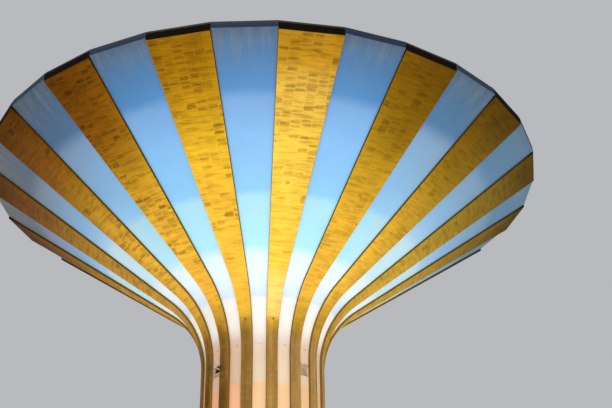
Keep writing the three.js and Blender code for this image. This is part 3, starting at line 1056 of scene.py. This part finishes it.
def tint_ribs_with_painted_light(tree):
    """The ribs' broad colours by height, with painted light and shade laid over them by how far round the
    tower and on which side.
    """
    tree.colour = tree.bands(tree.height(), RIB_TONES)
    # On the left, painted shade: under the rim, on the shaft and more so low down
    tree.wash((130, 84, 6), x=(0.1, -0.7, 0.0, 0.35), height=(4.55, 4.95))
    tree.wash((100, 62, 4), x=(0.40, -0.40, 0.0, 0.50), height=(3.66, 3.46))
    tree.wash((60, 36, 0), x=(-0.15, -0.33), height=(3.12, 2.92, 0.0, 0.50))
    # Painted light on the right of the shaft, and painted shade where the side ribs turn outward
    tree.wash((216, 175, 115), x=(0.14, 0.28), height=(3.48, 3.40, 0.0, 0.30))
    limits = {"height": (3.53, 3.62, 0.0, 0.45), "below": (3.80, 3.64)}
    tree.wash((155, 118, 36), flank=(0.30, 0.52), **limits)
    # The front right rib: painted light in its upper half and a painted highlight over the neck
    lit_front_right = tree.product(tree.step(tree.x(), 0.02, 0.12), tree.step(tree.flank(), 0.45, 0.30))
    tree.wash((255, 212, 100), lit_front_right, height=(3.95, 4.90, 0.0, 0.50), below=(4.94, 5.10, 1.0, 0.15))
    tree.wash((255, 238, 150), lit_front_right, height=(3.54, 3.65, 0.0, 0.40), below=(4.00, 3.80))
    # Towards both sides, painted shade: browner, then faded, and darkest under the rim
    brown = tree.by_side((120, 61, 2), (106, 73, 3))
    tree.wash(brown, flank=(0.2, 0.6), height=(4.1, 4.95, 0.20, 0.82))
    faded_shade = tree.by_side((112, 77, 50), (130, 116, 46))
    tree.wash(faded_shade, flank=(0.74, 0.98), height=(3.50, 3.80, 0.0, 0.45))
    tree.wash((56, 32, 0), flank=(0.25, 0.95), height=(4.85, 5.20, 0.0, 0.60))


def lift_lines(tree):
    """1 along broken level lines between the lifts of the shaft, below the louvres' tops."""
    below = tree.math("SUBTRACT", tree.height(), LIFT_LINES["top"])
    off = tree.math("PINGPONG", below, LIFT_LINES["pitch"] / 2)
    broken = tree.step(tree.noise(5.0), 0.42, 0.56)
    return tree.product(tree.step(off, 0.0035, 0.0015), tree.step(below, 0.010, 0.005), broken)


def grained(tree, across, along, detail):
    """A noise drawn out along the boards, which turn from upright to across at the neck."""
    on_bowl = tree.step(tree.height(), CROSS_BOARDS_FROM - 0.002, CROSS_BOARDS_FROM + 0.002)
    run = tree.mix(on_bowl, tree.scaled(along, across), tree.scaled(across, along))
    return tree.noise(1.0, detail, 0.65, run)


def stain_boards(tree, stain, along_stain, blotch, thin):
    """Darkens the stained boards, ragged at their edges, and leaves a pale seam round them."""
    across_board = tree.split(tree.map("edge"), "Y")
    framed = tree.product(tree.inner(across_board, 0.01, 0.08), tree.inner(along_stain, 0.02, 0.20))
    outer = tree.step(tree.height(), 4.35, 4.85, 0.0, 0.75)
    outer = tree.product(outer, tree.step(tree.flank(), 0.30, 0.55))
    seam = [tree.math("SUBTRACT", 1.0, share) for share in (framed, outer)]
    seam += [tree.step(stain, 0.35, 0.9, 0.0, 0.16), tree.step(blotch, 0.42, 0.58)]
    tree.wash((250, 196, 84), *seam, height=OUTWARD)
    ragged = tree.math("MULTIPLY_ADD", tree.streaks(11.0, 40.0, 4.0), 0.60, -0.30)
    worn = [tree.inner(tree.math("ADD", across_board, ragged), -0.02, 0.15)]
    worn += [tree.inner(tree.math("ADD", along_stain, ragged), -0.02, 0.28)]
    worn += [tree.step(thin, 0.38, 0.60, 0.45, 1.0), stain, 0.74]
    tree.darken((124, 116, 106), *worn, height=OUTWARD)


def soil_round_damage(tree):
    """Dirt on the ribs beside the damaged louvre."""
    off = tree.node("VectorMath", {0: tree.place(), 1: DAMAGED_SPOT}, operation="DISTANCE").outputs["Value"]
    tree.wash((62, 52, 24), tree.step(off, 0.17, 0.07), tree.step(tree.noise(26.0, 4.0), 0.41, 0.55), 0.85)


def rib_concrete():
    """Board-marked ochre concrete, browner on the shaft and at the rim, with painted shade that browns it
    on the tower's two sides.
    """
    tree = Tree("rib_concrete")
    marks = tree.node("VertexColor", {}, layer_name="board").outputs["Color"]
    tone, stain, along_stain = tree.node("SeparateColor", {0: marks}).outputs
    grain, thin = grained(tree, 8.0, 220.0, 5.0), grained(tree, 5.0, 72.0, 3.0)
    blotch, cloud = grained(tree, 5.0, 26.0, 4.0), tree.noise(2.4, 5.0, 0.65)
    tint_ribs_with_painted_light(tree)
    tree.wash((214, 176, 110), tree.math("MAXIMUM", joint_line(tree), lift_lines(tree)), 0.22)
    for value, amount in ((tone, 0.12), (grain, 0.14), (cloud, 0.30)):
        tree.shade(value, amount)
    tree.darken((141, 126, 93), tree.step(blotch, 0.46, 0.68, 0.0, 0.40), height=OUTWARD)
    tree.darken((121, 110, 93), tree.step(thin, 0.52, 0.74, 0.0, 0.32), height=OUTWARD)
    stain_boards(tree, stain, along_stain, blotch, thin)
    soil_round_damage(tree)
    pitted = tree.product(tree.step(tree.cells(120.0), 0.16, 0.05), tree.step(cloud, 0.45, 0.7))
    tree.wash((80, 56, 24), pitted, 0.5)
    normal = tree.bump(pitted, -0.0008, 0.7, tree.bump(grain, 0.0006, 0.6))
    return tree.surface((grain, 0.25, 0.62), normal, specular=0.05)


def rib_side_shaded_concrete():
    """The ribs' narrow sides and rim: weathered concrete darkened by painted shade, lighter low on the
    shaft.
    """
    tree = Tree("rib_side_shaded_concrete")
    cloud, fine = tree.noise(14.0, 5.0, 0.62), tree.noise(160.0, 3.0, 0.6)
    # Painted shade, darkest on the bowl and at the rim's face
    tree.colour = tree.bands(tree.height(), RIB_SIDE_SHADE_TONES)
    tree.shade(cloud, 0.25)
    tree.shade(fine, 0.12)
    return tree.surface((cloud, 0.2, 0.7), tree.bump(fine, 0.0006, 0.5), specular=0.05)


def panel_edge_shaded_paint():
    """The panels' rim and their hidden sides: blue paint darkened by painted shade, with runs of dirt."""
    tree = Tree("panel_edge_shaded_paint")
    cloud = tree.noise(12.0, 5.0, 0.6)
    # Painted shade: the panels' blue paint made dark
    tree.colour = (34, 54, 86)
    tree.shade(cloud, 0.16)
    tree.wash((30, 36, 46), tree.step(tree.streaks(90.0, 6.0, 3.0, 0.6), 0.5, 0.8, 0.0, 0.45))
    return tree.surface((cloud, 0.2, 0.5), tree.bump(cloud, 0.0008, 0.4))


def plain_concrete():
    """Grey-brown weathered concrete with clouds, pits and fine grain."""
    tree = Tree("plain_concrete")
    cloud, fine = tree.noise(1.6, 6.0, 0.65), tree.noise(60.0, 4.0, 0.65)
    tree.colour = tree.mix(tree.step(cloud, 0.35, 0.7), (176, 170, 156), (138, 131, 116))
    tree.shade(fine, 0.12)
    tree.wash((92, 86, 76), tree.step(tree.cells(45.0), 0.04, 0.14, 0.4, 0.0))
    return tree.surface((cloud, 0.2, 0.7), tree.bump(fine, 0.001, 0.5), specular=0.25)


def plug_mortar(name, tint):
    """Fine mortar, a little darker than the rib that it fills, with clouds and sandy grain."""
    tree = Tree(name)
    cloud, sand = tree.noise(60.0, 4.0, 0.6), tree.noise(900.0, 3.0, 0.6)
    # The ribs' colours, with their painted light and shade
    tint_ribs_with_painted_light(tree)
    tree.darken(tint, 1.0)
    tree.shade(cloud, 0.12)
    tree.shade(sand, 0.10)
    return tree.surface((cloud, 0.2, 0.7), tree.bump(sand, 0.0002, 0.5), specular=0.1)


def coated_steel(name, colour, worn, rust):
    """Painted steel, dull, with scuffs and small rust spots."""
    tree = Tree(name)
    cloud, fine = tree.noise(30.0, 5.0, 0.65), tree.noise(240.0, 3.0, 0.6)
    tree.colour = tree.mix(tree.step(cloud, 0.45, 0.7), colour, worn)
    tree.shade(fine, 0.08)
    tree.wash((104, 58, 30), tree.step(cloud, 0.60, 0.68), tree.step(fine, 0.45, 0.6), rust)
    return tree.surface((cloud, 0.3, 0.35), tree.bump(fine, 0.0003, 0.4), specular=0.4)


def bitumen():
    """Dark felt with pale mineral grains and dust."""
    tree = Tree("bitumen")
    grains = tree.noise(420.0, 2.0, 0.6)
    tree.colour = tree.mix(tree.step(tree.noise(4.0, 5.0, 0.6), 0.35, 0.75), (50, 50, 50), (92, 88, 82))
    tree.wash((130, 128, 122), tree.step(grains, 0.55, 0.7, 0.0, 0.5))
    return tree.surface(0.9, tree.bump(grains, 0.0006, 0.7), specular=0.2)


def bare_steel():
    """Galvanised steel with its mottled flecks."""
    tree = Tree("bare_steel")
    cloud = tree.noise(24.0, 4.0, 0.6)
    tree.colour = (150, 152, 152)
    tree.shade(tree.node("SeparateColor", {0: tree.cells(160.0, "Color")}).outputs[0], 0.12)
    tree.shade(cloud, 0.15)
    return tree.surface((cloud, 0.3, 0.3), tree.bump(cloud, 0.0002, 0.3), metallic=0.8)


def studio_floor():
    tree = Tree("studio_floor")
    tree.colour = (226, 226, 224)
    tree.shade(tree.noise(2.0), 0.015)
    return tree.surface(0.8, specular=0.2)


PANEL_PAINT = panel_paint()
PANEL_EDGE_SHADED = panel_edge_shaded_paint()
RIB_CONCRETE = rib_concrete()
RIB_SIDE_SHADED = rib_side_shaded_concrete()
PLAIN_CONCRETE = plain_concrete()
LOUVRE_PAINT = coated_steel("louvre_paint", (250, 222, 188), (204, 176, 142), 0.5)
DOOR_PAINT = coated_steel("door_paint", (92, 104, 110), (70, 78, 82), 0.6)
PIPE_PAINT = coated_steel("pipe_paint", (176, 146, 104), (140, 112, 76), 0.5)
SPOUT_PAINT = coated_steel("spout_paint", (110, 80, 44), (84, 60, 34), 0.6)
PLUG_RIM = plug_mortar("plug_rim", (194, 184, 182))
PLUG_MIDDLE = plug_mortar("plug_middle", (226, 220, 255))
SCREEN_PAINT = coated_steel("screen_paint", (236, 208, 172), (190, 164, 132), 0.4)
GRILLE_PAINT = coated_steel("grille_paint", (150, 146, 138), (112, 108, 100), 0.5)
FLASHING_PAINT = coated_steel("flashing", (52, 50, 50), (38, 37, 38), 0.2)

NODE_MATERIALS = {"louvre": LOUVRE_PAINT, "door": DOOR_PAINT}
NODE_MATERIALS |= dict.fromkeys(("ground", "tank", "roof", "turret"), PLAIN_CONCRETE)


# Putting the tower together

for strip in range(RIB_COUNT):
    make_panel(strip)
    make_rib(strip)
make_trim("panel_drain_pipes", PIPE_PAINT, pipes(PANEL_FACE, PIPE, map(panel_azimuth, range(RIB_COUNT))))
make_trim("rib_spouts", SPOUT_PAINT, pipes(RIB_FACE, SPOUT, map(rib_azimuth, SPOUT_RIBS)))
make_rib_plugs()
make_trim("louvre_screens", SCREEN_PAINT, louvre_screens())
make_trim("roof_edge_flashing", FLASHING_PAINT, [roof_flashing()])
make_trim("roof_bitumen_strips", bitumen(), roof_strips())
make_trim("turret_vent_grilles", GRILLE_PAINT, vent_grilles())
make_trim("turret_cap_seams", FLASHING_PAINT, cap_trim())
make_trim("door_furniture", bare_steel(), door_furniture())

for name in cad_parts:
    kind = name.split("_")[0]
    if kind in NODE_MATERIALS:
        node = bpy.data.objects[name]
        node.data.materials.clear()
        node.data.materials.append(NODE_MATERIALS[kind])


# Camera, floor and light


def aim_camera():
    camera = placed("camera", bpy.data.cameras.new("camera"))
    camera.data.sensor_width = SENSOR_WIDTH_MM
    camera.data.lens = SENSOR_WIDTH_MM * FOCAL_PX / PHOTO_WIDTH_PX
    inward = Vector((-sin(CAMERA_AZIMUTH), cos(CAMERA_AZIMUTH), 0))
    where = Matrix.Translation(reached(inward, -CAMERA_DISTANCE, CAMERA_HEIGHT))
    level_turn = Matrix.Rotation(CAMERA_AZIMUTH - CAMERA_YAW, 4, "Z")
    tilt = Matrix.Rotation(pi / 2 + CAMERA_PITCH, 4, "X") @ Matrix.Rotation(CAMERA_ROLL, 4, "Z")
    camera.matrix_world = where @ level_turn @ tilt
    bpy.context.scene.camera = camera


def lamp(name, kind, **settings):
    light = bpy.data.lights.new(name, kind)
    for label, value in settings.items():
        setattr(light, label, value)
    return placed(name, light)


def place_low_lamp(degrees, power):
    """A wide soft lamp near the ground that faces the neck; the camera doesn't see it."""
    low_lamp = lamp(f"low_lamp_{degrees:03d}", "AREA", energy=power, **LOW_LAMP)
    out = Vector((sin(radians(degrees)), -cos(radians(degrees)), 0))
    low_lamp.location = reached(out, LAMP_REACH, LAMP_HEIGHT)
    ahead = reached(out, *LAMP_AIM) - low_lamp.location
    low_lamp.rotation_euler = ahead.to_track_quat("-Z", "Y").to_euler()
    low_lamp.visible_camera = False


def lay_floor():
    mesh = bpy.data.meshes.new("studio_floor")
    work = bmesh.new()
    bmesh.ops.create_circle(work, cap_ends=True, segments=FLOOR["sides"], radius=FLOOR["radius"])
    work.to_mesh(mesh)
    work.free()
    mesh.materials.append(studio_floor())
    floor = placed("studio_floor", mesh)
    floor.location.z = FLOOR["height"]
    floor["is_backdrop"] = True


def light_studio():
    """The ring of low lamps, an even light from above, a little from the front, and a pale backdrop."""
    scene = bpy.context.scene
    scene.view_settings.view_transform = "Standard"
    scene.world = bpy.data.worlds.new("studio")
    scene.world.use_nodes = True
    backdrop = scene.world.node_tree.nodes["Background"]
    for name, value in BACKDROP.items():
        backdrop.inputs[name].default_value = value
    for degrees, power in LAMP_POWER.items():
        place_low_lamp(degrees, power)
    high_lamp = lamp("high_lamp", "SUN", **HIGH_LAMP)
    high_lamp.rotation_euler = Vector(HIGH_LAMP_FROM).to_track_quat("Z", "Y").to_euler()


aim_camera()
lay_floor()
light_studio()

boxes = [[list(corner) for corner in box] for box in (cad_box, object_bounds())]
